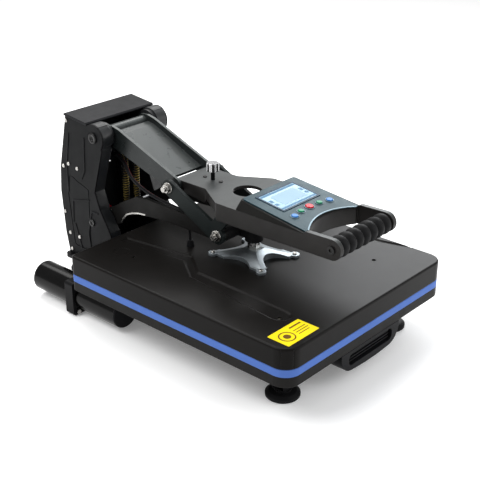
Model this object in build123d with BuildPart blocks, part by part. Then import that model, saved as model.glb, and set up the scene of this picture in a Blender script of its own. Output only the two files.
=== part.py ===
"""Auto-open clamshell heat press, 40 x 50 cm class, with a slide-out lower platen.

Millimetres. +Z is up, +X is to the operator's right and -Y is towards the operator.
The origin is on the bench, under the middle of the press.
"""

import math
import os

from build123d import *

os.makedirs("parts", exist_ok=True)

SIDES = (("left", -1), ("right", 1))

# ---------------------------------------------------------------- driving dimensions

PIN_GAP = 0.02  # radial gap of a pressed or clamped pin
RUN_GAP = 0.05  # radial gap of a running pin

# Platens
PLATEN_W = 450
PLATEN_D = 518
PLATEN_Y = -96
FRONT_Y = PLATEN_Y - PLATEN_D / 2
REAR_Y = PLATEN_Y + PLATEN_D / 2
FRONT_CORNER_R = 30
REAR_CORNER_R = 10
TRAY_Z = 66
PAD_Z = 85
PAD_TOP_Z = 99
COVER_Z = 99.5
COVER_TOP_Z = 136
COVER_WALL = 3
HEATER_T = 12.5

# Linkage pivots, as (y, z)
UPPER_PIVOT = (244, 307)  # tower to toggle link
ELBOW = (63, 248)  # toggle link to handle arm
FRONT_PIVOT = (-58, 188)  # lower arm to handle side plates
LOWER_PIVOT = (262, 126)  # tower to lower arm

# Layers from the middle outwards, as distances from the centre plane
LINK_IN, LINK_OUT = 44, 50
BAR_IN, BAR_OUT = 51.2, 58
SIDE_PLATE_IN, SIDE_PLATE_OUT = 59.2, 66
LEG_IN, LEG_OUT = 60, 83
COVER_SKIN = 3
BOSS_IN = 53

# Pins
TOWER_PIN_R = 8
ELBOW_PIN_R = 6
AXLE_R = 7.5

# Pressure rod and spider
ROD_Y = -89
ROD_R = 7
SPIDER_REACH = (47, 58)
SPIDER_TIPS = [(sx * SPIDER_REACH[0], ROD_Y + sy * SPIDER_REACH[1]) for sx in (-1, 1) for sy in (-1, 1)]
SPIDER_TIP_R = 9
SPIDER_TIP_Z = 141
HUB_TOP_Z = 152

# Base
RAIL_X, RAIL_W = 130, 24
RAIL_BOTTOM_Z, RAIL_TOP_Z = 38, 60
RAIL_FRONT, RAIL_REAR = -302, 205
CROSSBAR_Y = -289
FRONT_FEET = [(sx * 155, CROSSBAR_Y) for sx in (-1, 1)]
REAR_FEET = [(sx * 68, 316) for sx in (-1, 1)]
CROSSBAR_BOTTOM_Z = 14
BASE_PLATE_Z = 30
TUBE_X, TUBE_Z, TUBE_R = 183, 35, 29.5
TUBE_FRONT, TUBE_REAR = 67, 296
CLAMP_FRONT, CLAMP_REAR = 174, 196

# Handle arm
ARM_HALF_NECK = 43
ARM_HALF_WIDE = 79
FORK_T = 9
ARM_TOP_Z = 259
ARM_PLATE_T = 6
ARM_WALL = 8
BOX_REAR, BOX_FRONT = -119, -264
WINDOW_HALF = 66
WINDOW_DEPTH = 21  # how far the hand gap curves into the box front
GRIP = (-321, 248)  # grip axis, as (y, z)
FORK_END_R = 18
KNOB_Y = 12
ARM_HOLE_Y = -73

# Control panel: a plane that falls towards the operator
PANEL_SLOPE = 0.124
PANEL_Y, PANEL_BASE_Z = -121, 277.5
PANEL_T = 2
panel_plane = Plane(
    origin=(0, PANEL_Y, PANEL_BASE_Z), x_dir=(1, 0, 0), z_dir=(0, -PANEL_SLOPE, 1)
)
# name, across, along, radius
BUTTONS = (
    ("button_up", -47.5, -99.5, 6),
    ("button_set", -25, -94.5, 5.5),
    ("button_start", 0, -93, 7.5),
    ("button_mode", 25, -94.5, 5.5),
    ("button_down", 47.5, -99.5, 6),
)
BUTTON_GAP = 0.4
LCD_V, LCD_W, LCD_H = -45.5, 92, 57


def panel_z(y):
    """Height of the control box's top under the panel, at y."""
    return PANEL_BASE_Z + (y - PANEL_Y) * PANEL_SLOPE


# ---------------------------------------------------------------- base

with BuildPart() as base_rails:
    with BuildSketch(Plane.XZ.offset(-RAIL_FRONT)):
        with Locations(*[(sx * RAIL_X, (RAIL_BOTTOM_Z + RAIL_TOP_Z) / 2) for sx in (-1, 1)]):
            Rectangle(RAIL_W, RAIL_TOP_Z - RAIL_BOTTOM_Z)
            Rectangle(RAIL_W - 4, RAIL_TOP_Z - RAIL_BOTTOM_Z - 4, mode=Mode.SUBTRACT)
    extrude(amount=-(RAIL_REAR - RAIL_FRONT))
base_rails.part.label = "base_rails"
export_step(base_rails.part, "parts/base_rails.step")

with BuildPart() as front_crossbar:
    with BuildSketch(Plane.YZ):
        with Locations((CROSSBAR_Y, (CROSSBAR_BOTTOM_Z + RAIL_BOTTOM_Z) / 2)):
            Rectangle(26, RAIL_BOTTOM_Z - CROSSBAR_BOTTOM_Z)
            Rectangle(22, RAIL_BOTTOM_Z - CROSSBAR_BOTTOM_Z - 4, mode=Mode.SUBTRACT)
    extrude(amount=168, both=True)
front_crossbar.part.label = "front_crossbar"
export_step(front_crossbar.part, "parts/front_crossbar.step")

with BuildPart() as base_plate:
    with BuildSketch(Plane.XY.offset(BASE_PLATE_Z)):
        with Locations((0, (170 + RAIL_REAR) / 2)):
            Rectangle(2 * RAIL_X + RAIL_W, RAIL_REAR - 170)
        with Locations((0, (170 + 346) / 2)):
            RectangleRounded(2 * 96, 346 - 170, 10)
    extrude(amount=RAIL_BOTTOM_Z - BASE_PLATE_Z)
base_plate.part.label = "base_plate"
export_step(base_plate.part, "parts/base_plate.step")

with BuildPart() as support_tubes:
    with BuildSketch(Plane.XZ.offset(-TUBE_FRONT)):
        with Locations((-TUBE_X, TUBE_Z), (TUBE_X, TUBE_Z)):
            Circle(TUBE_R)
            Circle(TUBE_R - 3, mode=Mode.SUBTRACT)
    extrude(amount=-(TUBE_REAR - TUBE_FRONT))
support_tubes.part.label = "support_tubes"
export_step(support_tubes.part, "parts/support_tubes.step")

with BuildPart() as tube_end_plugs:
    for end_y, outward in ((TUBE_FRONT, -1), (TUBE_REAR, 1)):
        with BuildSketch(Plane.XZ.offset(-end_y)):
            with Locations((-TUBE_X, TUBE_Z), (TUBE_X, TUBE_Z)):
                Circle(TUBE_R)
        extrude(amount=-4 * outward)
        with BuildSketch(Plane.XZ.offset(-end_y)):
            with Locations((-TUBE_X, TUBE_Z), (TUBE_X, TUBE_Z)):
                Circle(TUBE_R - 3 - PIN_GAP)
        extrude(amount=12 * outward)
    rims = tube_end_plugs.edges().filter_by(GeomType.CIRCLE)
    fillet(rims.group_by(Axis.Y)[0] + rims.group_by(Axis.Y)[-1], 2.5)
tube_end_plugs.part.label = "tube_end_plugs"
export_step(tube_end_plugs.part, "parts/tube_end_plugs.step")

CLAMP_HALF = 34
CLAMP_BOLTS = [(sx * (TUBE_X + 24), TUBE_Z + sz * 27) for sx in (-1, 1) for sz in (-1, 1)]
with BuildPart() as tube_clamps:
    with BuildSketch(Plane.XZ.offset(-CLAMP_FRONT)):
        for side, sign in SIDES:
            with Locations((sign * TUBE_X, TUBE_Z)):
                RectangleRounded(2 * CLAMP_HALF, 2 * CLAMP_HALF, 6)
            with Locations((sign * 148, (RAIL_BOTTOM_Z + RAIL_TOP_Z) / 2)):
                Rectangle(12, RAIL_TOP_Z - RAIL_BOTTOM_Z)
            with Locations((sign * TUBE_X, TUBE_Z)):
                Circle(TUBE_R + PIN_GAP, mode=Mode.SUBTRACT)
        with Locations(*CLAMP_BOLTS):
            Circle(2.5 + PIN_GAP, mode=Mode.SUBTRACT)
    extrude(amount=-(CLAMP_REAR - CLAMP_FRONT))
tube_clamps.part.label = "tube_clamps"
export_step(tube_clamps.part, "parts/tube_clamps.step")

with BuildPart() as clamp_bolts:
    with BuildSketch(Plane.XZ.offset(-CLAMP_FRONT)):
        with Locations(*CLAMP_BOLTS):
            RegularPolygon(5, 6)
    extrude(amount=4.5)
    with BuildSketch(Plane.XZ.offset(-CLAMP_FRONT)):
        with Locations(*CLAMP_BOLTS):
            Circle(2.5)
    extrude(amount=-(CLAMP_REAR - CLAMP_FRONT))
clamp_bolts.part.label = "clamp_bolts"
export_step(clamp_bolts.part, "parts/clamp_bolts.step")

with BuildPart() as rubber_feet:
    for feet, top_z in ((FRONT_FEET, CROSSBAR_BOTTOM_Z), (REAR_FEET, BASE_PLATE_Z)):
        for foot_x, foot_y in feet:
            with BuildSketch(Plane.XZ.offset(-foot_y)):
                with Locations((foot_x, 0)):
                    Polygon((0, 0), (29, 0), (30, 1.5), (30, 6), (24, 10), (15, 11.5),
                            (15, top_z), (0, top_z), align=None)
            revolve(axis=Axis((foot_x, foot_y, 0), (0, 0, 1)))
rubber_feet.part.label = "rubber_feet"
export_step(rubber_feet.part, "parts/rubber_feet.step")

SLIDE_FRONT, SLIDE_REAR = -300, 100
with BuildPart() as slide_rails:
    with BuildSketch(Plane.XZ.offset(-SLIDE_FRONT)):
        for side, sign in SIDES:
            with Locations((sign * 110.5, 49)):
                Rectangle(15, 18)
            with Locations((sign * 109, 49)):
                Rectangle(13, 14, mode=Mode.SUBTRACT)
    extrude(amount=-(SLIDE_REAR - SLIDE_FRONT))
slide_rails.part.label = "slide_rails"
export_step(slide_rails.part, "parts/slide_rails.step")

# ---------------------------------------------------------------- drawer

with BuildPart() as slide_runners:
    with BuildSketch(Plane.XZ.offset(-(SLIDE_FRONT - 5))):
        for side, sign in SIDES:
            with Locations((sign * 109.25, 49)):
                Rectangle(9.5, 11)
            with Locations((sign * 99, 49)):
                Rectangle(11, 6)
            with Locations((sign * 94.5, 64)):
                Rectangle(4, 36)
    extrude(amount=-(SLIDE_REAR - SLIDE_FRONT - 10))
slide_runners.part.label = "slide_runners"
export_step(slide_runners.part, "parts/slide_runners.step")

with BuildPart() as lower_platen:
    with BuildSketch(Plane.XY.offset(TRAY_Z)) as tray_outline:
        with Locations((0, PLATEN_Y)):
            Rectangle(PLATEN_W, PLATEN_D)
        fillet(tray_outline.vertices().group_by(Axis.Y)[0], FRONT_CORNER_R)
        fillet(tray_outline.vertices().group_by(Axis.Y)[-1], REAR_CORNER_R)
    extrude(amount=PAD_Z - TRAY_Z)
    fillet(lower_platen.edges().group_by(Axis.Z)[0], 1.5)
    with BuildSketch(Plane.XY.offset(TRAY_Z)):
        with Locations((0, PLATEN_Y)):
            RectangleRounded(PLATEN_W - 8, PLATEN_D - 8, 24)
    extrude(amount=PAD_Z - TRAY_Z - 3, mode=Mode.SUBTRACT)
lower_platen.part.label = "lower_platen"
export_step(lower_platen.part, "parts/lower_platen.step")

with BuildPart() as silicone_pad:
    with BuildSketch(Plane.XY.offset(PAD_Z)) as pad_outline:
        with Locations((0, PLATEN_Y)):
            Rectangle(PLATEN_W, PLATEN_D)
        fillet(pad_outline.vertices().group_by(Axis.Y)[0], FRONT_CORNER_R)
        fillet(pad_outline.vertices().group_by(Axis.Y)[-1], REAR_CORNER_R)
    extrude(amount=PAD_TOP_Z - PAD_Z)
    fillet(silicone_pad.edges().group_by(Axis.Z)[-1], 2)
silicone_pad.part.label = "silicone_pad"
export_step(silicone_pad.part, "parts/silicone_pad.step")

PULL_HALF, PULL_BOTTOM_Z, PULL_DEPTH = 84, 25, 30
PULL_SLOT_Z = 49
with BuildPart() as drawer_pull:
    with BuildSketch(Plane.XZ.offset(-FRONT_Y)):
        with BuildLine():
            Polyline((-PULL_HALF, 60), (-PULL_HALF, TRAY_Z), (PULL_HALF, TRAY_Z), (PULL_HALF, 60))
            ThreePointArc((PULL_HALF, 60), (75, 37.5), (52, 27.5))
            ThreePointArc((52, 27.5), (0, PULL_BOTTOM_Z), (-52, 27.5))
            ThreePointArc((-52, 27.5), (-75, 37.5), (-PULL_HALF, 60))
        make_face()
    extrude(amount=-PULL_DEPTH)
    with BuildSketch(Plane.XZ.offset(-FRONT_Y)):
        with Locations((0, PULL_SLOT_Z)):
            RectangleRounded(126, 23, 10)
    extrude(amount=-9, mode=Mode.SUBTRACT)
    with BuildSketch(Plane.XZ.offset(-(FRONT_Y + 4))):
        with Locations(*[(0, PULL_SLOT_Z + dz) for dz in (-6, 0, 6)]):
            Rectangle(116, 2)
    extrude(amount=-5)
    with BuildSketch(Plane.XY.offset(PULL_BOTTOM_Z - 3)):
        with Locations((0, FRONT_Y + 22)):
            Rectangle(112, 12)
    extrude(amount=30, mode=Mode.SUBTRACT)
    with BuildSketch(Plane.XY.offset(TRAY_Z)):
        with Locations((0, FRONT_Y + 17.5)):
            Rectangle(140, 25)
    extrude(amount=PAD_Z - 3 - TRAY_Z)
drawer_pull.part.label = "drawer_pull"
export_step(drawer_pull.part, "parts/drawer_pull.step")

# ---------------------------------------------------------------- tower

LEG_OUTLINE = [
    (261, 329), (324, 336), (350, 226), (355, 172), (349, 84), (340, RAIL_BOTTOM_Z),
    (186, RAIL_BOTTOM_Z), (211, 117), (237, 159), (250, 194), (222, 284), (230, 331),
]
BOSS_R = 27
SCREW_SPOTS = [
    (322, 326), (340, 228), (324, 236), (298, 232), (346, 128), (334, 84), (305, 82), (332, 48),
]

for side, sign in SIDES:
    with BuildPart() as tower_leg:
        with BuildSketch(Plane.YZ.offset(sign * LEG_IN)):
            Polygon(*LEG_OUTLINE, align=None)
            with Locations(UPPER_PIVOT):
                Circle(BOSS_R)
        extrude(amount=sign * (LEG_OUT - LEG_IN))
        with BuildSketch(Plane.YZ.offset(sign * BOSS_IN)):
            with Locations(UPPER_PIVOT):
                Circle(BOSS_R - 3)
        extrude(amount=sign * (LEG_IN - BOSS_IN + 1))
        with BuildSketch(Plane.YZ.offset(sign * LEG_IN)) as pocket:
            Polygon((292, 70), (334, 70), (340, 168), (336, 226), (316, 312), (286, 308),
                    (280, 200), align=None)
            fillet(pocket.vertices(), 6)
        extrude(amount=sign * 16, mode=Mode.SUBTRACT)
        with BuildSketch(Plane.YZ.offset(sign * BOSS_IN)):
            with Locations(UPPER_PIVOT, LOWER_PIVOT):
                Circle(TOWER_PIN_R + PIN_GAP)
        extrude(amount=sign * 40, mode=Mode.SUBTRACT)
        with BuildSketch(Plane.YZ.offset(sign * LEG_OUT)):
            with Locations(*SCREW_SPOTS):
                Circle(2 + PIN_GAP)
        extrude(amount=-sign * 6, mode=Mode.SUBTRACT)
    tower_leg.part.label = f"tower_leg_{side}"
    export_step(tower_leg.part, f"parts/tower_leg_{side}.step")

    with BuildPart() as side_cover:
        with BuildSketch(Plane.YZ.offset(sign * LEG_OUT)):
            Polygon(*LEG_OUTLINE, align=None)
            with Locations(UPPER_PIVOT):
                Circle(BOSS_R)
            with Locations(*SCREW_SPOTS):
                Circle(2 + PIN_GAP, mode=Mode.SUBTRACT)
        extrude(amount=sign * COVER_SKIN)
        with BuildSketch(Plane.YZ.offset(sign * (LEG_OUT + COVER_SKIN))) as panel_groove:
            Polygon((270, 60), (322, 60), (332, 172), (324, 216), (300, 206), (266, 196),
                    align=None)
            fillet(panel_groove.vertices(), 8)
            offset(amount=-2.5, mode=Mode.SUBTRACT)
        extrude(amount=-sign * 1, mode=Mode.SUBTRACT)
    side_cover.part.label = f"side_cover_{side}"
    export_step(side_cover.part, f"parts/side_cover_{side}.step")

with BuildPart() as side_cover_screws:
    for side, sign in SIDES:
        with BuildSketch(Plane.YZ.offset(sign * (LEG_OUT - 6))):
            with Locations(*SCREW_SPOTS):
                Circle(2)
        extrude(amount=sign * (COVER_SKIN + 6))
        with BuildSketch(Plane.YZ.offset(sign * (LEG_OUT + COVER_SKIN))):
            with Locations(*SCREW_SPOTS):
                Circle(4)
        extrude(amount=sign * 2)
    heads = side_cover_screws.edges().group_by(Axis.X)
    chamfer(heads[0] + heads[-1], 0.8)
side_cover_screws.part.label = "side_cover_screws"
export_step(side_cover_screws.part, "parts/side_cover_screws.step")

with BuildPart() as tower_cap:
    with BuildSketch(Plane.YZ):
        Polygon((261, 329), (324, 336), (326, 336), (327, 339), (324, 341), (262, 334.2),
                (259.5, 331.5), align=None)
    extrude(amount=88, both=True)
tower_cap.part.label = "tower_cap"
export_step(tower_cap.part, "parts/tower_cap.step")

INLET = (-24, 100)
SWITCH = (24, 100)
BACK_OUTER = [(324.2, 335), (350, 226), (355, 172), (349, 84), (340, RAIL_BOTTOM_Z)]
with BuildPart() as back_cover:
    with BuildSketch(Plane.YZ):
        Polygon(*BACK_OUTER, *[(y - 3, z) for y, z in reversed(BACK_OUTER)], align=None)
    extrude(amount=LEG_IN, both=True)
    with BuildSketch(Plane.XZ.offset(-330)):
        with Locations(INLET):
            Rectangle(28, 20)
        with Locations(SWITCH):
            Rectangle(13, 21)
    extrude(amount=-40, mode=Mode.SUBTRACT)
    with BuildSketch(Plane.XZ.offset(-330)):
        with Locations(*[(x, z) for x in (-40, -24, -8, 8, 24, 40) for z in (200, 214, 228)]):
            SlotOverall(12, 3)
    extrude(amount=-40, mode=Mode.SUBTRACT)
back_cover.part.label = "back_cover"
export_step(back_cover.part, "parts/back_cover.step")

with BuildPart() as mains_inlet:
    with BuildSketch(Plane.XZ.offset(-351)):
        with Locations(INLET):
            RectangleRounded(34, 26, 2)
    extrude(amount=-2.5)
    with BuildSketch(Plane.XZ.offset(-351)):
        with Locations(INLET):
            Rectangle(27.6, 19.6)
    extrude(amount=20)
    with BuildSketch(Plane.XZ.offset(-353.5)):
        with Locations(INLET):
            Rectangle(23, 15)
    extrude(amount=16, mode=Mode.SUBTRACT)
    with BuildSketch(Plane.XZ.offset(-337.5)):
        with Locations(*[(INLET[0] + dx, INLET[1] + dz) for dx, dz in ((-6, -2), (0, 2.5), (6, -2))]):
            Rectangle(2, 5)
    extrude(amount=-12)
mains_inlet.part.label = "mains_inlet"
export_step(mains_inlet.part, "parts/mains_inlet.step")

SWITCH_Y = 346
with BuildPart() as power_switch:
    with BuildSketch(Plane.YZ.offset(SWITCH[0])):
        Polygon((SWITCH_Y - 8, 95), (SWITCH_Y + 4, 90.8), (SWITCH_Y + 5, 100), (SWITCH_Y + 4, 109.2),
                (SWITCH_Y - 8, 105), align=None)
        with Locations((SWITCH_Y, SWITCH[1])):
            Circle(1.2, mode=Mode.SUBTRACT)
    extrude(amount=5.8, both=True)
power_switch.part.label = "power_switch"
export_step(power_switch.part, "parts/power_switch.step")

for pin_name, pivot in (("upper_pivot_pin", UPPER_PIVOT), ("lower_pivot_pin", LOWER_PIVOT)):
    with BuildPart() as pivot_pin:
        with BuildSketch(Plane.YZ):
            with Locations(pivot):
                Circle(TOWER_PIN_R)
        extrude(amount=LEG_OUT, both=True)
    pivot_pin.part.label = pin_name
    export_step(pivot_pin.part, f"parts/{pin_name}.step")

# ---------------------------------------------------------------- lift springs

SPRING_X, SPRING_Y = 14, 238
SPRING_BAR_R = 5
SPRING_BAR_Z = 150
SPRING_BOTTOM_Z, SPRING_TOP_Z = SPRING_BAR_Z + SPRING_BAR_R, 270
SPRING_R, WIRE_R, SPRING_PITCH = 5.6, 1.3, 5

with BuildPart() as spring_hanger:
    with BuildSketch(Plane.XY.offset(SPRING_TOP_Z)):
        with Locations((0, (SPRING_Y - 9 + 335) / 2)):
            RectangleRounded(48, 335 - SPRING_Y + 9, 4)
    extrude(amount=4)
    with BuildSketch(Plane.YZ):
        Polygon((334, SPRING_TOP_Z), (336.4, SPRING_TOP_Z), (330.6, 294), (327.6, 294),
                (332.6, SPRING_TOP_Z + 4), align=None)
    extrude(amount=24, both=True)
spring_hanger.part.label = "spring_hanger"
export_step(spring_hanger.part, "parts/spring_hanger.step")

with BuildPart() as lift_springs:
    for spring_x in (-SPRING_X, SPRING_X):
        with BuildLine(Plane((spring_x, SPRING_Y, SPRING_BOTTOM_Z + WIRE_R))) as coil:
            Helix(SPRING_PITCH, SPRING_TOP_Z - SPRING_BOTTOM_Z - 2 * WIRE_R, SPRING_R)
        with BuildSketch(Plane(coil.line @ 0, z_dir=coil.line % 0)):
            Circle(WIRE_R)
        sweep(path=coil.line, is_frenet=True)
lift_springs.part.label = "lift_springs"
export_step(lift_springs.part, "parts/lift_springs.step")

# ---------------------------------------------------------------- lower arm

BAR_OUTLINE = [
    (-58, 202.5), (29, 202), (131, 204), (161, 201), (208, 175.5), (221.5, 166), (270, 142),
    (254, 110), (211, 130), (192, 153), (156, 165.5), (117, 170), (65, 173.5), (-58, 173.5),
]
for side, sign in SIDES:
    with BuildPart() as arm_bar:
        with BuildSketch(Plane.YZ.offset(sign * BAR_IN)):
            Polygon(*BAR_OUTLINE, align=None)
            with Locations(FRONT_PIVOT):
                Circle(14.5)
            with Locations(LOWER_PIVOT):
                Circle(18)
                Circle(TOWER_PIN_R + RUN_GAP, mode=Mode.SUBTRACT)
            with Locations(FRONT_PIVOT):
                Circle(AXLE_R + PIN_GAP, mode=Mode.SUBTRACT)
            with Locations((SPRING_Y, SPRING_BAR_Z)):
                Circle(SPRING_BAR_R + PIN_GAP, mode=Mode.SUBTRACT)
        extrude(amount=sign * (BAR_OUT - BAR_IN))
    arm_bar.part.label = f"arm_bar_{side}"
    export_step(arm_bar.part, f"parts/arm_bar_{side}.step")

with BuildPart() as pivot_sleeve:
    with BuildSketch(Plane.YZ):
        with Locations(LOWER_PIVOT):
            Circle(14)
            Circle(TOWER_PIN_R + RUN_GAP, mode=Mode.SUBTRACT)
    extrude(amount=BAR_IN, both=True)
pivot_sleeve.part.label = "pivot_sleeve"
export_step(pivot_sleeve.part, "parts/pivot_sleeve.step")

with BuildPart() as spring_bar:
    with BuildSketch(Plane.YZ):
        with Locations((SPRING_Y, SPRING_BAR_Z)):
            Circle(SPRING_BAR_R)
    extrude(amount=BAR_OUT, both=True)
spring_bar.part.label = "spring_bar"
export_step(spring_bar.part, "parts/spring_bar.step")

with BuildPart() as front_axle:
    with BuildSketch(Plane.YZ):
        with Locations(FRONT_PIVOT):
            Circle(AXLE_R)
    extrude(amount=BAR_OUT + 0.4, both=True)
front_axle.part.label = "front_axle"
export_step(front_axle.part, "parts/front_axle.step")

BLOCK_BOSS_TOP_Z = 204
with BuildPart() as pressure_block:
    with BuildSketch(Plane.YZ):
        with Locations(FRONT_PIVOT):
            Circle(15)
    extrude(amount=BAR_IN, both=True)
    with BuildSketch(Plane.YZ):
        with Locations(((ROD_Y + FRONT_PIVOT[0]) / 2, FRONT_PIVOT[1])):
            Rectangle(FRONT_PIVOT[0] - ROD_Y, 26)
    extrude(amount=17, both=True)
    with BuildSketch(Plane.XY.offset(168)):
        with Locations((0, ROD_Y)):
            Circle(17)
    extrude(amount=BLOCK_BOSS_TOP_Z - 168)
    with BuildSketch(Plane.YZ):
        with Locations(FRONT_PIVOT):
            Circle(AXLE_R + PIN_GAP)
    extrude(amount=BAR_IN, both=True, mode=Mode.SUBTRACT)
    with BuildSketch(Plane.XY.offset(160)):
        with Locations((0, ROD_Y)):
            Circle(ROD_R + PIN_GAP)
    extrude(amount=50, mode=Mode.SUBTRACT)
pressure_block.part.label = "pressure_block"
export_step(pressure_block.part, "parts/pressure_block.step")

ROD_BOTTOM_Z, ROD_TOP_Z = 143, 218
with BuildPart() as pressure_rod:
    with BuildSketch(Plane.XY.offset(ROD_BOTTOM_Z)):
        with Locations((0, ROD_Y)):
            Circle(ROD_R)
    extrude(amount=ROD_TOP_Z - ROD_BOTTOM_Z)
    chamfer(pressure_rod.edges().group_by(Axis.Z)[-1], 1)
pressure_rod.part.label = "pressure_rod"
export_step(pressure_rod.part, "parts/pressure_rod.step")

with BuildPart() as pressure_nuts:
    for nut_z in (HUB_TOP_Z, BLOCK_BOSS_TOP_Z):
        with BuildSketch(Plane.XY.offset(nut_z)):
            with Locations((0, ROD_Y)):
                RegularPolygon(12, 6)
                Circle(ROD_R + PIN_GAP, mode=Mode.SUBTRACT)
        extrude(amount=8)
pressure_nuts.part.label = "pressure_nuts"
export_step(pressure_nuts.part, "parts/pressure_nuts.step")

# The spider's arms are ridged: four flat slopes fall from the hub to the tips
with BuildPart() as spider_slopes:
    with BuildSketch(Plane.XY.offset(COVER_TOP_Z)):
        with Locations((0, ROD_Y)):
            Rectangle(2 * SPIDER_REACH[0] + 40, 2 * SPIDER_REACH[1] + 40)
    extrude(amount=SPIDER_TIP_Z - COVER_TOP_Z)
    with BuildSketch(Plane.XY.offset(SPIDER_TIP_Z)):
        with Locations((0, ROD_Y)):
            Rectangle(2 * SPIDER_REACH[0] - 7, 2 * SPIDER_REACH[1] - 7)
    with BuildSketch(Plane.XY.offset(HUB_TOP_Z)):
        with Locations((0, ROD_Y)):
            Rectangle(25, 29)
    loft()

with BuildPart() as spider_bracket:
    with BuildSketch(Plane.XY.offset(COVER_TOP_Z)):
        with Locations(*SPIDER_TIPS):
            Circle(SPIDER_TIP_R)
        with Locations((0, ROD_Y)):
            Rectangle(2 * SPIDER_REACH[0], 2 * SPIDER_REACH[1])
            with Locations(*[(sx * (SPIDER_REACH[0] + 52), 0) for sx in (-1, 1)]):
                Ellipse(65, SPIDER_REACH[1] - 6, mode=Mode.SUBTRACT)
            with Locations(*[(0, sy * (SPIDER_REACH[1] + 52)) for sy in (-1, 1)]):
                Ellipse(SPIDER_REACH[0] - 6, 80, mode=Mode.SUBTRACT)
    extrude(amount=HUB_TOP_Z - COVER_TOP_Z)
    add(spider_slopes.part, mode=Mode.INTERSECT)
    with BuildSketch(Plane.XY.offset(ROD_BOTTOM_Z)):
        with Locations((0, ROD_Y)):
            Circle(ROD_R + PIN_GAP)
    extrude(amount=20, mode=Mode.SUBTRACT)
    with BuildSketch(Plane.XY.offset(COVER_TOP_Z)):
        with Locations(*SPIDER_TIPS):
            Circle(2 + PIN_GAP)
    extrude(amount=10, mode=Mode.SUBTRACT)
spider_bracket.part.label = "spider_bracket"
export_step(spider_bracket.part, "parts/spider_bracket.step")

with BuildPart() as spider_screws:
    with BuildSketch(Plane.XY.offset(COVER_TOP_Z - COVER_WALL)):
        with Locations(*SPIDER_TIPS):
            Circle(2)
    extrude(amount=SPIDER_TIP_Z - COVER_TOP_Z + COVER_WALL)
    with BuildSketch(Plane.XY.offset(SPIDER_TIP_Z)):
        with Locations(*SPIDER_TIPS):
            Circle(4)
    extrude(amount=2.4)
    chamfer(spider_screws.edges().group_by(Axis.Z)[-1], 0.8)
spider_screws.part.label = "spider_screws"
export_step(spider_screws.part, "parts/spider_screws.step")

GLAND = (-47, 27)
with BuildPart() as platen_cover:
    with BuildSketch(Plane.XY.offset(COVER_Z)) as cover_outline:
        with Locations((0, PLATEN_Y)):
            Rectangle(PLATEN_W, PLATEN_D)
        fillet(cover_outline.vertices().group_by(Axis.Y)[0], FRONT_CORNER_R)
        fillet(cover_outline.vertices().group_by(Axis.Y)[-1], REAR_CORNER_R)
    extrude(amount=COVER_TOP_Z - COVER_Z)
    fillet(platen_cover.edges().group_by(Axis.Z)[-1], 4)
    with BuildSketch(Plane.XY.offset(COVER_Z)):
        with Locations((0, PLATEN_Y)):
            RectangleRounded(PLATEN_W - 2 * COVER_WALL, PLATEN_D - 2 * COVER_WALL, 9)
            with GridLocations(PLATEN_W - 2 * COVER_WALL, PLATEN_D - 2 * COVER_WALL, 2, 2):
                Circle(14, mode=Mode.SUBTRACT)
    extrude(amount=COVER_TOP_Z - COVER_WALL - COVER_Z, mode=Mode.SUBTRACT)
    with BuildSketch(Plane.XY.offset(COVER_TOP_Z - COVER_WALL)):
        with Locations(*SPIDER_TIPS):
            Circle(2 + PIN_GAP)
        with Locations(GLAND):
            Circle(5)
    extrude(amount=10, mode=Mode.SUBTRACT)
platen_cover.part.label = "platen_cover"
export_step(platen_cover.part, "parts/platen_cover.step")

with BuildPart() as heating_plate:
    with BuildSketch(Plane.XY.offset(COVER_Z)):
        with Locations((0, PLATEN_Y)):
            Rectangle(PLATEN_W - 8, PLATEN_D - 8)
            with GridLocations(PLATEN_W - 8, PLATEN_D - 8, 2, 2):
                Circle(17, mode=Mode.SUBTRACT)
    extrude(amount=HEATER_T)
heating_plate.part.label = "heating_plate"
export_step(heating_plate.part, "parts/heating_plate.step")

with BuildPart() as insulation_pad:
    with BuildSketch(Plane.XY.offset(COVER_Z + HEATER_T)):
        with Locations((0, PLATEN_Y)):
            RectangleRounded(PLATEN_W - 50, PLATEN_D - 50, 10)
    extrude(amount=18)
insulation_pad.part.label = "insulation_pad"
export_step(insulation_pad.part, "parts/insulation_pad.step")

LOOM_R = 3.2
GLAND_TOP_Z = 148
with BuildPart() as cable_gland:
    with BuildSketch(Plane.XY.offset(COVER_TOP_Z)):
        with Locations(GLAND):
            Circle(7.5)
    extrude(amount=GLAND_TOP_Z - COVER_TOP_Z, taper=12)
    with BuildSketch(Plane.XY.offset(COVER_TOP_Z - COVER_WALL)):
        with Locations(GLAND):
            Circle(5 - PIN_GAP)
    extrude(amount=COVER_WALL)
cable_gland.part.label = "cable_gland"
export_step(cable_gland.part, "parts/cable_gland.step")

# The loom is held at both ends, by the gland and inside the tower's back.
LOOM_ROUTE = [
    (-31, 306, 238), (-31, 276, 256), (-30, 238, 264), (-30, 200, 253), (-33, 162, 230),
    (-42, 128, 212), (-52.5, 96, 208.5), (-54.6, 62, 206.6), (-50.5, 36, 202), (GLAND[0], GLAND[1], 178),
    (GLAND[0], GLAND[1], GLAND_TOP_Z),
]


def arc_radii(route):
    """Largest fair arc at each inner point: 0.45 of the shorter run over tan(half the turn)."""
    points = [Vector(*p) for p in route]
    radii = []
    for before, here, after in zip(points, points[1:], points[2:]):
        turn = (here - before).get_angle(after - here)
        shorter = min((here - before).length, (after - here).length)
        radii.append(0.45 * shorter / math.tan(math.radians(turn) / 2))
    return radii


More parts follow.
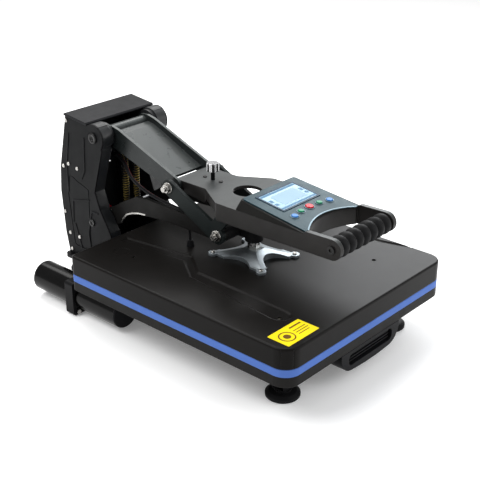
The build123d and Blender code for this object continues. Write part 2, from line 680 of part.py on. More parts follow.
loom_radii = arc_radii(LOOM_ROUTE)
print("loom radii", [round(r) for r in loom_radii])
with BuildPart() as cable_loom:
    with BuildLine() as loom_path:
        FilletPolyline(*LOOM_ROUTE, radius=loom_radii)
    with BuildSketch(Plane(loom_path.line @ 0, z_dir=loom_path.line % 0)):
        Circle(LOOM_R)
    sweep(path=loom_path.line)
loom_length = sum(edge.length for edge in loom_path.edges())
print("loom length", loom_length)
print("loom volume over section times length",
      cable_loom.part.volume / (math.pi * LOOM_R**2 * loom_length))
cable_loom.part.label = "cable_loom"
export_step(cable_loom.part, "parts/cable_loom.step")

with BuildPart() as loom_clip:
    clip_plane = Plane(loom_path.line @ 0, z_dir=-(loom_path.line % 0))
    with BuildSketch(clip_plane):
        Circle(7)
    extrude(amount=8)
    with BuildSketch(Plane.XY.offset(226)):
        with Locations((LOOM_ROUTE[0][0], 326)):
            Rectangle(8, 34)
    extrude(amount=4)
loom_clip.part.label = "loom_clip"
export_step(loom_clip.part, "parts/loom_clip.step")

# ---------------------------------------------------------------- toggle link

with BuildPart() as toggle_link:
    for side, sign in SIDES:
        with BuildSketch(Plane.YZ.offset(sign * LINK_IN)):
            with Locations(UPPER_PIVOT):
                Circle(18)
            with Locations(ELBOW):
                Circle(15.5)
            Polygon((240, 300), (232, 326), (213, 322), (88, 267.5), (99, 243), (200, 281),
                    align=None)
            make_hull()
        extrude(amount=sign * (LINK_OUT - LINK_IN))
    with BuildSketch(Plane.YZ):
        with Locations(UPPER_PIVOT):
            Circle(15)
    extrude(amount=BOSS_IN - 0.3, both=True)
    with BuildSketch(Plane.YZ):
        Polygon((238, 314), (213, 311), (84, 255), (84, 250.5), (213, 306.5), (238, 301), align=None)
    extrude(amount=LINK_IN, both=True)
    with BuildSketch(Plane.YZ):
        with Locations(UPPER_PIVOT):
            Circle(TOWER_PIN_R + RUN_GAP)
        with Locations(ELBOW):
            Circle(ELBOW_PIN_R + PIN_GAP)
    extrude(amount=60, both=True, mode=Mode.SUBTRACT)
toggle_link.part.label = "toggle_link"
export_step(toggle_link.part, "parts/toggle_link.step")

with BuildPart() as elbow_pin:
    with BuildSketch(Plane.YZ):
        with Locations(ELBOW):
            Circle(ELBOW_PIN_R)
    extrude(amount=LINK_OUT, both=True)
elbow_pin.part.label = "elbow_pin"
export_step(elbow_pin.part, "parts/elbow_pin.step")

# ---------------------------------------------------------------- handle arm

ARM_BARREL_R = 11
ARM_SCREW_YS = (32, -8)
with BuildPart() as handle_arm:
    with BuildSketch(Plane.XY.offset(200)) as arm_plan:
        Polygon((-ARM_HALF_NECK, 60), (-ARM_HALF_NECK, -10), (-ARM_HALF_WIDE, -68),
                (-ARM_HALF_WIDE, BOX_FRONT), (ARM_HALF_WIDE, BOX_FRONT),
                (ARM_HALF_WIDE, -68), (ARM_HALF_NECK, -10), (ARM_HALF_NECK, 60), align=None)
        kinks = arm_plan.vertices().group_by(Axis.Y)
        fillet(kinks[1] + kinks[2], 12)
    extrude(amount=80)
    with BuildSketch(Plane.YZ):
        Polygon((60, ARM_TOP_Z), (BOX_FRONT, ARM_TOP_Z), (BOX_FRONT, 229), (-182, 227),
                (-70, 226), (-62, 240), (-14, 240), (-8, 231), (50, 238), (60, 244), align=None)
    extrude(amount=100, both=True, mode=Mode.INTERSECT)
    with BuildSketch(Plane.XY.offset(200)):
        Polygon((-ARM_HALF_NECK + ARM_WALL, 52), (-ARM_HALF_NECK + ARM_WALL, -7),
                (-ARM_HALF_WIDE + ARM_WALL, -64), (-ARM_HALF_WIDE + ARM_WALL, BOX_FRONT + 30),
                (ARM_HALF_WIDE - ARM_WALL, BOX_FRONT + 30), (ARM_HALF_WIDE - ARM_WALL, -64),
                (ARM_HALF_NECK - ARM_WALL, -7), (ARM_HALF_NECK - ARM_WALL, 52), align=None)
    extrude(amount=ARM_TOP_Z - ARM_PLATE_T - 200, mode=Mode.SUBTRACT)
    with BuildSketch(Plane.XY.offset(200)):
        with BuildLine():
            ThreePointArc((-WINDOW_HALF, BOX_FRONT), (0, BOX_FRONT + WINDOW_DEPTH), (WINDOW_HALF, BOX_FRONT))
            Line((WINDOW_HALF, BOX_FRONT), (-WINDOW_HALF, BOX_FRONT))
        make_face()
    extrude(amount=80, mode=Mode.SUBTRACT)
    for side, sign in SIDES:
        with BuildSketch(Plane.YZ.offset(sign * (ARM_HALF_WIDE - FORK_T))):
            Polygon((BOX_FRONT, ARM_TOP_Z), (BOX_FRONT, 262), (BOX_FRONT - 5, 264.5),
                    (GRIP[0], GRIP[1] + FORK_END_R), (GRIP[0], GRIP[1] - FORK_END_R), (BOX_FRONT, 229),
                    align=None)
            with Locations(GRIP):
                Circle(FORK_END_R)
        extrude(amount=sign * FORK_T)
        with BuildSketch(Plane.YZ.offset(sign * SIDE_PLATE_OUT)):
            with Locations((-84, 240)):
                Rectangle(22, 20)
        extrude(amount=sign * (ARM_HALF_WIDE - ARM_WALL - SIDE_PLATE_OUT))
    with BuildSketch(Plane.YZ):
        with Locations(ELBOW):
            Circle(ARM_BARREL_R)
    extrude(amount=ARM_HALF_NECK + 0.6, both=True)
    with BuildSketch(Plane.YZ):
        with Locations(ELBOW):
            Circle(ELBOW_PIN_R + RUN_GAP)
        with Locations(GRIP):
            Circle(4 + PIN_GAP)
    extrude(amount=100, both=True, mode=Mode.SUBTRACT)
    with BuildSketch(Plane.XY.offset(200)):
        with Locations((0, ARM_HOLE_Y)):
            Circle(27)
        with Locations((0, KNOB_Y)):
            Circle(4 + RUN_GAP)
        with Locations(*[(0, y) for y in ARM_SCREW_YS]):
            Circle(2 + PIN_GAP)
    extrude(amount=80, mode=Mode.SUBTRACT)
handle_arm.part.label = "handle_arm"
export_step(handle_arm.part, "parts/handle_arm.step")

for side, sign in SIDES:
    with BuildPart() as side_plate:
        with BuildSketch(Plane.YZ.offset(sign * SIDE_PLATE_IN)) as lever:
            with Locations(ELBOW):
                Circle(15)
            with Locations(FRONT_PIVOT):
                Circle(16.5)
            make_hull()
            Polygon((-64, 196), (-95, 232), (-95, 250), (-73, 250), (-46, 212), align=None)
            with Locations(ELBOW, FRONT_PIVOT):
                Circle(5 + PIN_GAP, mode=Mode.SUBTRACT)
        extrude(amount=sign * (SIDE_PLATE_OUT - SIDE_PLATE_IN))
    side_plate.part.label = f"side_plate_{side}"
    export_step(side_plate.part, f"parts/side_plate_{side}.step")

with BuildPart() as side_plate_nuts:
    for side, sign in SIDES:
        for pivot, stud_end in ((ELBOW, 80), (FRONT_PIVOT, 78)):
            with BuildSketch(Plane.YZ.offset(sign * SIDE_PLATE_OUT)):
                with Locations(pivot):
                    RegularPolygon(8.5, 6)
            extrude(amount=sign * 8)
            with BuildSketch(Plane.YZ.offset(sign * SIDE_PLATE_IN)):
                with Locations(pivot):
                    Circle(5)
            extrude(amount=sign * (stud_end - SIDE_PLATE_IN))
side_plate_nuts.part.label = "side_plate_nuts"
export_step(side_plate_nuts.part, "parts/side_plate_nuts.step")

# Control box: a wedge with leaning sides, whose front follows the hand gap
with BuildPart() as control_box:
    with BuildSketch(Plane.YZ):
        Polygon((BOX_REAR + 7, ARM_TOP_Z), (BOX_REAR - 1, panel_z(BOX_REAR - 1)),
                (BOX_FRONT, panel_z(BOX_FRONT)), (BOX_FRONT, ARM_TOP_Z), align=None)
    extrude(amount=ARM_HALF_WIDE, both=True)
    with BuildSketch(Plane.XZ):
        Polygon((-ARM_HALF_WIDE, ARM_TOP_Z), (-72, 280), (72, 280), (ARM_HALF_WIDE, ARM_TOP_Z),
                align=None)
    extrude(amount=400, mode=Mode.INTERSECT)
    leaning = control_box.edges().filter_by(lambda e: abs(e.center().X) > 66 and 12 < e.length < 40)
    fillet(leaning.group_by(Axis.Y)[-1], 7)
    with BuildSketch(Plane.XY.offset(ARM_TOP_Z)):
        with BuildLine():
            ThreePointArc((-WINDOW_HALF, BOX_FRONT), (0, BOX_FRONT + WINDOW_DEPTH), (WINDOW_HALF, BOX_FRONT))
            Line((WINDOW_HALF, BOX_FRONT), (-WINDOW_HALF, BOX_FRONT))
        make_face()
    extrude(amount=30, mode=Mode.SUBTRACT)
    with BuildSketch(Plane.YZ):
        Polygon((BOX_REAR - 10, ARM_TOP_Z), (BOX_REAR - 10, panel_z(BOX_REAR - 10) - 8),
                (-190, ARM_TOP_Z), align=None)
    extrude(amount=60, both=True, mode=Mode.SUBTRACT)
    for name, across, along, radius in BUTTONS:
        with BuildSketch(panel_plane):
            with Locations((across, along)):
                Circle(radius + BUTTON_GAP)
        extrude(amount=-3.5, mode=Mode.SUBTRACT)
control_box.part.label = "control_box"
export_step(control_box.part, "parts/control_box.step")

PANEL_FRONT = -143.5
with BuildPart() as control_panel:
    with BuildSketch(panel_plane):
        with BuildLine():
            Polyline((-WINDOW_HALF + 1, PANEL_FRONT), (-73, PANEL_FRONT), (-70, -1), (70, -1),
                     (73, PANEL_FRONT), (WINDOW_HALF - 1, PANEL_FRONT))
            ThreePointArc((WINDOW_HALF - 1, PANEL_FRONT), (0, PANEL_FRONT + WINDOW_DEPTH + 1),
                          (-WINDOW_HALF + 1, PANEL_FRONT))
        panel_outline = make_face()
        fillet(panel_outline.vertices().group_by(Axis.Y)[-1], 6)
        with Locations((0, LCD_V)):
            Rectangle(LCD_W + 0.2, LCD_H + 0.2, mode=Mode.SUBTRACT)
        for name, across, along, radius in BUTTONS:
            with Locations((across, along)):
                Circle(radius + BUTTON_GAP, mode=Mode.SUBTRACT)
    extrude(amount=PANEL_T)
control_panel.part.label = "control_panel"
export_step(control_panel.part, "parts/control_panel.step")

with BuildPart() as lcd_screen:
    with BuildSketch(panel_plane):
        with Locations((0, LCD_V)):
            Rectangle(LCD_W, LCD_H)
    extrude(amount=PANEL_T + 0.6)
lcd_screen.part.label = "lcd_screen"
export_step(lcd_screen.part, "parts/lcd_screen.step")

for name, across, along, radius in BUTTONS:
    with BuildPart() as button:
        with BuildSketch(panel_plane.offset(-1.5)):
            with Locations((across, along)):
                Circle(radius)
        extrude(amount=PANEL_T + 4.2)
        cap_edges = button.edges().filter_by(GeomType.CIRCLE).sort_by(Axis.Z)
        fillet(cap_edges[-1], 1.4)
    button.part.label = name
    export_step(button.part, f"parts/{name}.step")

GRIP_HALF = ARM_HALF_WIDE - FORK_T
with BuildPart() as grip_bar:
    with BuildSketch(Plane.YZ):
        with Locations(GRIP):
            Circle(9)
    extrude(amount=GRIP_HALF, both=True)
    with BuildSketch(Plane.YZ):
        with Locations(GRIP):
            Circle(4 + PIN_GAP)
    extrude(amount=GRIP_HALF, both=True, mode=Mode.SUBTRACT)
grip_bar.part.label = "grip_bar"
export_step(grip_bar.part, "parts/grip_bar.step")

RIBS = 8
RIB_PITCH = 2 * (GRIP_HALF - 2) / RIBS
with BuildPart() as rubber_grip:
    with BuildSketch(Plane.XY.offset(GRIP[1])):
        with Locations((0, GRIP[0] + 13)):
            Rectangle(2 * (GRIP_HALF - 2), 8)
        for rib in range(RIBS):
            with Locations((-GRIP_HALF + 2 + (rib + 0.5) * RIB_PITCH, GRIP[0] + 17)):
                RectangleRounded(RIB_PITCH - 3.5, 4, 1.5)
    revolve(axis=Axis((0, GRIP[0], GRIP[1]), (1, 0, 0)))
rubber_grip.part.label = "rubber_grip"
export_step(rubber_grip.part, "parts/rubber_grip.step")

with BuildPart() as handle_screws:
    for side, sign in SIDES:
        with BuildSketch(Plane.YZ.offset(sign * (GRIP_HALF - 12))):
            with Locations(GRIP):
                Circle(4)
        extrude(amount=sign * (ARM_HALF_WIDE - GRIP_HALF + 12))
        with BuildSketch(Plane.YZ.offset(sign * ARM_HALF_WIDE)):
            with Locations(GRIP):
                Circle(7)
        extrude(amount=sign * 3)
        with BuildSketch(Plane.YZ.offset(sign * (ARM_HALF_WIDE + 3))):
            with Locations(GRIP):
                RegularPolygon(3.4, 6)
        extrude(amount=-sign * 2, mode=Mode.SUBTRACT)
    with BuildSketch(Plane.XY.offset(ARM_TOP_Z)):
        with Locations(*[(0, y) for y in ARM_SCREW_YS]):
            Circle(4)
    extrude(amount=1.6)
    with BuildSketch(Plane.XY.offset(ARM_TOP_Z - ARM_PLATE_T)):
        with Locations(*[(0, y) for y in ARM_SCREW_YS]):
            Circle(2)
    extrude(amount=ARM_PLATE_T)
handle_screws.part.label = "handle_screws"
export_step(handle_screws.part, "parts/handle_screws.step")

KNOB_Z, KNOB_TOP_Z, KNOB_R = 276, 292, 12
with BuildPart() as pressure_knob:
    with BuildSketch(Plane.XY.offset(KNOB_Z)):
        with Locations((0, KNOB_Y)):
            Circle(KNOB_R)
    extrude(amount=KNOB_TOP_Z - KNOB_Z)
    chamfer(pressure_knob.edges(), 1.2)
    with BuildSketch(Plane.XY.offset(KNOB_Z)):
        with Locations((0, KNOB_Y)):
            with PolarLocations(KNOB_R, 16):
                Circle(1.3)
    extrude(amount=KNOB_TOP_Z - KNOB_Z, mode=Mode.SUBTRACT)
    with BuildSketch(Plane.XY.offset(ARM_TOP_Z - 14)):
        with Locations((0, KNOB_Y)):
            Circle(4)
    extrude(amount=KNOB_Z - ARM_TOP_Z + 14)
pressure_knob.part.label = "pressure_knob"
export_step(pressure_knob.part, "parts/pressure_knob.step")
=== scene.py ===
"""Dark, satin-painted clamshell heat press on a pale studio floor, in the CAD model's frame."""

import math

import bmesh
import bpy
from mathutils import Matrix, Vector


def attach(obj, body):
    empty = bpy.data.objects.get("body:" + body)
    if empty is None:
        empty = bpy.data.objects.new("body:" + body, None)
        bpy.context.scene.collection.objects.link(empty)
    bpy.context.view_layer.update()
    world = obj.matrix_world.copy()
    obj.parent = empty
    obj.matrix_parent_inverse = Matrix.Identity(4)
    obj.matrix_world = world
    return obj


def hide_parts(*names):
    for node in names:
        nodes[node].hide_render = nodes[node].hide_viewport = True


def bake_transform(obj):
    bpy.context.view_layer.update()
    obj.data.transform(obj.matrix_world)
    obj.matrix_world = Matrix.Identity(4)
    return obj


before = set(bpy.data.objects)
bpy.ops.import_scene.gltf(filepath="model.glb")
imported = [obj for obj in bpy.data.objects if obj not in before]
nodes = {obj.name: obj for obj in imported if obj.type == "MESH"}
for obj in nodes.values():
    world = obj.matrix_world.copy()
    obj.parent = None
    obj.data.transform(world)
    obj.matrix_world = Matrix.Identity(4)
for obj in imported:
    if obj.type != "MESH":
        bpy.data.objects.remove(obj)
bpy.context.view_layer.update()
scene = bpy.context.scene
MM = 0.001
SIDES = (("left", -1), ("right", 1))

# ----------------------------------------------------------- places taken over from the CAD, in mm

# The pivots and the grip are given as (Y, Z).
UPPER_PIVOT = (244, 307)
LOWER_PIVOT = (262, 126)
ELBOW = (63, 248)
FRONT_PIVOT = (-58, 188)
GRIP = (-321, 248)
COVER_TOP_Z = 136
SIDE_COVER_X = 86
SIDE_PLATE_X = 66
ARM_BAR_X = 58
# The knob's painted reflections go round it in this many bright and dark band pairs.
KNOB_Y, KNOB_Z, KNOB_REFLECTION_BANDS = 12, 276, 8

# The panel's slope and the middle of its rear edge. On it, V runs up the slope from there.
PANEL_SLOPE = 0.124
PANEL_Y, PANEL_BASE_Z, PANEL_T = -121, 277.5, 2
LCD_V, LCD_W, LCD_H = -45.5, 92, 57
BUTTONS = (  # across, V, radius
    (-47.5, -99.5, 6), (-25, -94.5, 5.5), (0, -93, 7.5), (25, -94.5, 5.5), (47.5, -99.5, 6),
)
LOOM_ROUTE = (
    (-31, 306, 238), (-31, 276, 256), (-31, 242, 260), (-37, 210, 250), (-50, 186, 236),
    (-54.8, 160, 225), (-54.8, 126, 213.5), (-54.8, 96, 209), (-54.6, 62, 206.6), (-50.5, 36, 202),
    (-47, 27, 178), (-47, 27, 148),
)

# ------------------------------------------------------------------------------- camera and studio

CAMERA_PLACE = (-1.24617, -1.17145, 0.93143)
CAMERA_AZIMUTH, CAMERA_ELEVATION = math.radians(-48.14), math.radians(24.85)
LENS, SENSOR = 75, 36
CLIP = (0.05, 50)
AMBIENT = 0.56

camera = bpy.data.objects.new("camera", bpy.data.cameras.new("camera"))
scene.collection.objects.link(camera)
back = Vector((
    math.sin(CAMERA_AZIMUTH) * math.cos(CAMERA_ELEVATION),
    -math.cos(CAMERA_AZIMUTH) * math.cos(CAMERA_ELEVATION),
    math.sin(CAMERA_ELEVATION),
))
camera.location = CAMERA_PLACE
camera.rotation_mode = "QUATERNION"
camera.rotation_quaternion = (-back).to_track_quat("-Z", "Y")
camera.data.lens = LENS
camera.data.sensor_width = SENSOR
camera.data.clip_start, camera.data.clip_end = CLIP
bpy.context.scene.camera = camera
scene.view_settings.view_transform = "Standard"


def area_light(name, place, target, size, power, color=(1, 1, 1)):
    """A square area light at place, facing target; size in metres, power in watts."""
    light = bpy.data.lights.new(name, "AREA")
    light.size = size
    light.energy = power
    light.color = color
    lamp = bpy.data.objects.new(name, light)
    scene.collection.objects.link(lamp)
    lamp.location = place
    lamp.rotation_mode = "QUATERNION"
    lamp.rotation_quaternion = (Vector(target) - Vector(place)).to_track_quat("-Z", "Y")


area_light("key", (-1.5, 0.9, 2.3), (0, 0, 0.1), 1.5, 46)
area_light("overhead", (0.7, 1.3, 2.2), (0, 0, 0.1), 2.0, 52, (1, 0.99, 0.98))
area_light("front_fill", (0.9, -2.3, 1.9), (0, -0.1, 0.15), 1.5, 24, (0.97, 0.985, 1))
area_light("side_glint", (1.9, -2.0, 0.7), (0, 0.2, 0.2), 0.9, 10)
area_light("rear_rim", (2.0, 0.6, 1.3), (0, 0.1, 0.2), 1.2, 30, (0.96, 0.98, 1))

world = bpy.data.worlds.new("studio")
scene.world = world
world.use_nodes = True
sky = world.node_tree.nodes["Background"]
sky.inputs["Color"].default_value = (1, 1, 1, 1)
sky.inputs["Strength"].default_value = AMBIENT

# --------------------------------------------------------------------------------------- materials


class Graph:
    """A material whose nodes are added and joined by short calls."""

    def __init__(self, name):
        self.material = bpy.data.materials.new(name)
        self.material.use_nodes = True
        self.tree = self.material.node_tree
        self.shader = self.tree.nodes["Principled BSDF"]
        self.place = self.add("ShaderNodeTexCoord").outputs["Object"]

    def add(self, kind, **values):
        node = self.tree.nodes.new(kind)
        for key, value in values.items():
            setattr(node, key, value)
        return node

    def join(self, source, target):
        self.tree.links.new(source, target)

    def coordinate(self, axis, vector=None):
        """One coordinate of the place on the object, or of another vector."""
        separate = self.add("ShaderNodeSeparateXYZ")
        self.join(self.place if vector is None else vector, separate.inputs["Vector"])
        return separate.outputs[axis]

    def noise(self, scale, detail, stretch=(1, 1, 1)):
        """Noise whose scale counts features per metre; stretch squeezes it along X, Y and Z."""
        mapping = self.add("ShaderNodeMapping")
        mapping.inputs["Scale"].default_value = stretch
        self.join(self.place, mapping.inputs["Vector"])
        noise = self.add("ShaderNodeTexNoise")
        noise.inputs["Scale"].default_value = scale
        noise.inputs["Detail"].default_value = detail
        self.join(mapping.outputs["Vector"], noise.inputs["Vector"])
        return noise.outputs["Fac"]

    def spread(self, source, low, high, start=0.3, end=0.7):
        """source, from start to end, becomes a number from low to high."""
        remap = self.add("ShaderNodeMapRange")
        remap.inputs["From Min"].default_value = start
        remap.inputs["From Max"].default_value = end
        remap.inputs["To Min"].default_value = low
        remap.inputs["To Max"].default_value = high
        self.join(source, remap.inputs["Value"])
        return remap.outputs["Result"]

    def two_colours(self, source, low, high, start=0.35, end=0.65):
        """A colour that runs from low to high with source."""
        ramp = self.add("ShaderNodeValToRGB")
        ramp.color_ramp.elements[0].position = start
        ramp.color_ramp.elements[0].color = (*low, 1)
        ramp.color_ramp.elements[1].position = end
        ramp.color_ramp.elements[1].color = (*high, 1)
        self.join(source, ramp.inputs["Fac"])
        return ramp.outputs["Color"]

    def upper_faces(self, colour, top_colour_and_light):
        """The colour, turning to top on the faces that look up when the object is at rest."""
        facing = self.coordinate("Z", self.add("ShaderNodeTexCoord").outputs["Normal"])
        mix = self.add("ShaderNodeMix", data_type="RGBA")
        mix.inputs["B"].default_value = (*top_colour_and_light, 1)
        self.join(self.spread(facing, 0, 1, 0.5, 0.85), mix.inputs["Factor"])
        self.join(colour, mix.inputs["A"])
        return mix.outputs["Result"]

    def relief(self, source, depth, rounded):
        """Bump of that depth from source, over edges rounded by a radius; both in metres."""
        bevel = self.add("ShaderNodeBevel", samples=6)
        bevel.inputs["Radius"].default_value = rounded
        bump = self.add("ShaderNodeBump")
        bump.inputs["Distance"].default_value = depth
        bump.inputs["Strength"].default_value = 1
        self.join(source, bump.inputs["Height"])
        self.join(bevel.outputs["Normal"], bump.inputs["Normal"])
        self.join(bump.outputs["Normal"], self.shader.inputs["Normal"])


SMUDGES_PER_PATCH = 3.1


def shade(color, factor):
    """A colour made lighter or darker."""
    return tuple(min(1, c * factor) for c in color)


def finish_material(
    name, color, rough, metallic=0.0, variation=0.12, rough_spread=0.06, grain=900,
    depth=0.00003, rounded=0.0008, coat=0.0, coat_rough=0.1, stretch=(1, 1, 1), patch=14,
    spec=0.07, top_colour_and_light=None,
):
    """A surface with cloudy colour, uneven gloss and fine grain.

    patch and grain count features per metre; depth and rounded are in metres; the top colour
    goes on the faces that look up, as painted light on them.
    """
    g = Graph(name)
    cloud = g.noise(patch, 3)
    colour = g.two_colours(cloud, shade(color, 1 - variation), shade(color, 1 + variation))
    if top_colour_and_light:
        colour = g.upper_faces(colour, top_colour_and_light)
    g.join(colour, g.shader.inputs["Base Color"])
    smudge = g.noise(patch * SMUDGES_PER_PATCH, 5)
    g.join(
        g.spread(smudge, rough - rough_spread, rough + rough_spread),
        g.shader.inputs["Roughness"],
    )
    g.relief(g.noise(grain, 2, stretch), depth, rounded)
    g.shader.inputs["Metallic"].default_value = metallic
    g.shader.inputs["Coat Weight"].default_value = coat
    g.shader.inputs["Coat Roughness"].default_value = coat_rough
    g.shader.inputs["Specular IOR Level"].default_value = spec
    return g.material


cover_black = finish_material(
    "cover_black", (0.0062, 0.0056, 0.0052), 0.3, grain=1500, depth=0.000008, rounded=0.0022,
    spec=0.06, rough_spread=0.012, variation=0.06,
)
gloss_black = finish_material(
    "gloss_black", (0.0016, 0.0015, 0.0015), 0.17, grain=400, depth=0.000006, spec=0.12,
    rough_spread=0.04,
)
frame_black = finish_material("frame_black", (0.006, 0.006, 0.0065), 0.38, grain=1200)
tray_grey = finish_material(
    "tray_grey", (0.011, 0.0105, 0.010), 0.42, grain=1400, rounded=0.0015
)
tower_charcoal = finish_material(
    "tower_charcoal", (0.0125, 0.0135, 0.0145), 0.36, grain=1700, depth=0.00003, rounded=0.0016,
    spec=0.3,
)
cover_charcoal = finish_material(
    "cover_charcoal", (0.0064, 0.0068, 0.0074), 0.46, grain=900, depth=0.00007, rounded=0.001
)
cap_charcoal = finish_material(
    "cap_charcoal", (0.0105, 0.011, 0.0125), 0.4, grain=1500, rounded=0.0012
)
# Its faces that look up are painted lighter: painted light on the link's top.
link_grey = finish_material(
    "link_grey", (0.011, 0.014, 0.014), 0.3, metallic=0.25, grain=1500, depth=0.00002,
    rounded=0.0012, spec=0.3, top_colour_and_light=(0.05, 0.056, 0.055),
)
plate_grey = finish_material(
    "plate_grey", (0.0115, 0.0145, 0.0145), 0.34, metallic=0.25, grain=1500, depth=0.00003,
    rounded=0.0012,
)
bar_grey = finish_material(
    "bar_grey", (0.0095, 0.0092, 0.0088), 0.42, metallic=0.15, grain=1300, rounded=0.0012
)
# Its faces that look up are painted lighter: painted light on the handle's top.
handle_grey = finish_material(
    "handle_grey", (0.0135, 0.0125, 0.012), 0.38, metallic=0.2, grain=1500, rounded=0.0018,
    spec=0.2, top_colour_and_light=(0.05, 0.054, 0.054),
)
box_dark = finish_material(
    "box_dark", (0.010, 0.0098, 0.0092), 0.42, grain=1100, depth=0.00005, rounded=0.0018
)
cast_dark = finish_material(
    "cast_dark", (0.012, 0.012, 0.0125), 0.5, metallic=0.3, grain=500, depth=0.00014,
    rounded=0.0012,
)
cast_alloy = finish_material(
    "cast_alloy", (0.36, 0.40, 0.425), 0.34, metallic=0.85, variation=0.08, grain=900,
    depth=0.000012, rounded=0.0012,
)
plate_alloy = finish_material(
    "plate_alloy", (0.6, 0.61, 0.62), 0.32, metallic=1, stretch=(1, 14, 1), grain=300
)
turned_steel = finish_material(
    "turned_steel", (0.52, 0.52, 0.53), 0.28, metallic=1, grain=1200, stretch=(6, 1, 1)
)
zinc = finish_material(
    "zinc", (0.40, 0.39, 0.37), 0.26, metallic=1, variation=0.18, grain=800, rounded=0.0005,
    patch=60,
)
black_screw = finish_material(
    "black_screw", (0.03, 0.03, 0.03), 0.3, metallic=0.8, rounded=0.0004
)
black_plastic = finish_material(
    "black_plastic", (0.007, 0.007, 0.008), 0.34, grain=1300, depth=0.00004, rounded=0.0016
)
black_rubber = finish_material(
    "black_rubber", (0.008, 0.008, 0.0085), 0.5, grain=1600, depth=0.00008, rounded=0.001
)
pad_blue = finish_material(
    "pad_blue", (0.07, 0.145, 0.43), 0.45, variation=0.03, grain=1200, depth=0.00006,
    rounded=0.0015,
)
wool = finish_material("wool", (0.62, 0.6, 0.52), 0.9, grain=2200, depth=0.0006)
panel_blue = finish_material(
    "panel_blue", (0.013, 0.036, 0.046), 0.34, metallic=0.2, grain=1800, coat=0.03,
    coat_rough=0.15, rounded=0.0008,
)
panel_trim = finish_material(
    "panel_trim", (0.12, 0.17, 0.20), 0.3, metallic=0.5, rounded=0.0004
)
lcd_frame = finish_material("lcd_frame", (0.014, 0.036, 0.062), 0.3, rounded=0.0004)
button_blue = finish_material(
    "button_blue", (0.035, 0.17, 0.46), 0.25, coat=0.15, variation=0.08, rounded=0.0004
)
button_green = finish_material(
    "button_green", (0.012, 0.2, 0.1), 0.25, coat=0.15, variation=0.08, rounded=0.0004
)
button_red = finish_material(
    "button_red", (0.46, 0.012, 0.025), 0.25, coat=0.15, variation=0.08, rounded=0.0004
)
mark_white = finish_material("mark_white", (0.27, 0.4, 0.49), 0.4, variation=0.03)
mark_blue = finish_material("mark_blue", (0.06, 0.16, 0.27), 0.35, variation=0.05)
label_yellow = finish_material(
    "label_yellow", (0.80, 0.62, 0.006), 0.4, variation=0.04, grain=600, depth=0.00002,
    rounded=0.0003,
)
label_ink = finish_material("label_ink", (0.14, 0.07, 0.01), 0.5)
wire_black = finish_material("wire_black", (0.012, 0.012, 0.013), 0.35, grain=900)
wire_red = finish_material("wire_red", (0.16, 0.01, 0.013), 0.4, grain=900)


SCREEN_FRONT_Y, SCREEN_BACK_Y = -195, -137
# The springs' golden glints are painted highlights, in bands up the coil.
SPRING_GLINT_BAND = 2.6  # mm from the darkest to the brightest


def screen_material():
    """A lit, washed-out display, pale blue and brighter towards its far edge."""
    g = Graph("lcd_glass")
    along = g.spread(g.coordinate("Y"), 0, 1, SCREEN_FRONT_Y * MM, SCREEN_BACK_Y * MM)
    colour = g.two_colours(along, (0.1, 0.24, 0.36), (0.2, 0.36, 0.48), 0.1, 0.9)
    g.join(colour, g.shader.inputs["Base Color"])
    g.join(colour, g.shader.inputs["Emission Color"])
    g.shader.inputs["Emission Strength"].default_value = 0.12
    g.relief(g.noise(1200, 2), 0.000004, 0.0004)
    g.shader.inputs["Roughness"].default_value = 0.12
    g.shader.inputs["Specular IOR Level"].default_value = 0.25
    return g.material


def knob_material():
    """Turned metal, flutes painted light and dark as reflections, stem painted dark as shade."""
    g = Graph("knob_metal")
    centred = g.add("ShaderNodeMapping")
    centred.inputs["Location"].default_value = (0, -KNOB_Y * MM, 0)
    g.join(g.place, centred.inputs["Vector"])
    turn = g.add("ShaderNodeTexGradient", gradient_type="RADIAL")
    g.join(centred.outputs["Vector"], turn.inputs["Vector"])
    half_band = 0.5 / KNOB_REFLECTION_BANDS
    reflection_bands = g.add("ShaderNodeMath", operation="PINGPONG")
    reflection_bands.inputs[1].default_value = half_band
    g.join(turn.outputs["Fac"], reflection_bands.inputs[0])
    # Painted reflections: bright and dark bands in turn round the knob.
    painted_reflections = g.two_colours(
        g.spread(reflection_bands.outputs["Value"], 0, 1, 0, half_band), (0.02, 0.02, 0.02),
        (0.62, 0.62, 0.63), 0.35, 0.6,
    )
    # The stem below the cap is painted dark: painted shade under the cap.
    above = g.spread(g.coordinate("Z"), 0, 1, (KNOB_Z - 0.6) * MM, (KNOB_Z - 0.4) * MM)
    mix = g.add("ShaderNodeMix", data_type="RGBA")
    mix.inputs["A"].default_value = (0.012, 0.012, 0.013, 1)
    g.join(above, mix.inputs["Factor"])
    g.join(g.upper_faces(painted_reflections, (0.5, 0.5, 0.51)), mix.inputs["B"])
    g.join(mix.outputs["Result"], g.shader.inputs["Base Color"])
    g.join(g.spread(g.noise(60, 3), 0.16, 0.28), g.shader.inputs["Roughness"])
    g.relief(g.noise(900, 2), 0.000006, 0.0005)
    g.shader.inputs["Metallic"].default_value = 0.85
    return g.material


def spring_material():
    """Dark oiled wire with a painted golden highlight about once a turn."""
    g = Graph("spring_wire")
    glint_band = g.add("ShaderNodeMath", operation="PINGPONG")
    glint_band.inputs[1].default_value = SPRING_GLINT_BAND * MM
    g.join(g.coordinate("Z"), glint_band.inputs[0])
    g.join(
        g.two_colours(
            g.spread(glint_band.outputs["Value"], 0, 1, 0, SPRING_GLINT_BAND * MM), (0.012, 0.01, 0.008),
            (0.34, 0.25, 0.06), 0.55, 0.8,
        ),
        g.shader.inputs["Base Color"],
    )
    g.relief(g.noise(900, 2), 0.00001, 0.0002)
    g.shader.inputs["Roughness"].default_value = 0.35
    g.shader.inputs["Metallic"].default_value = 0.4
    return g.material


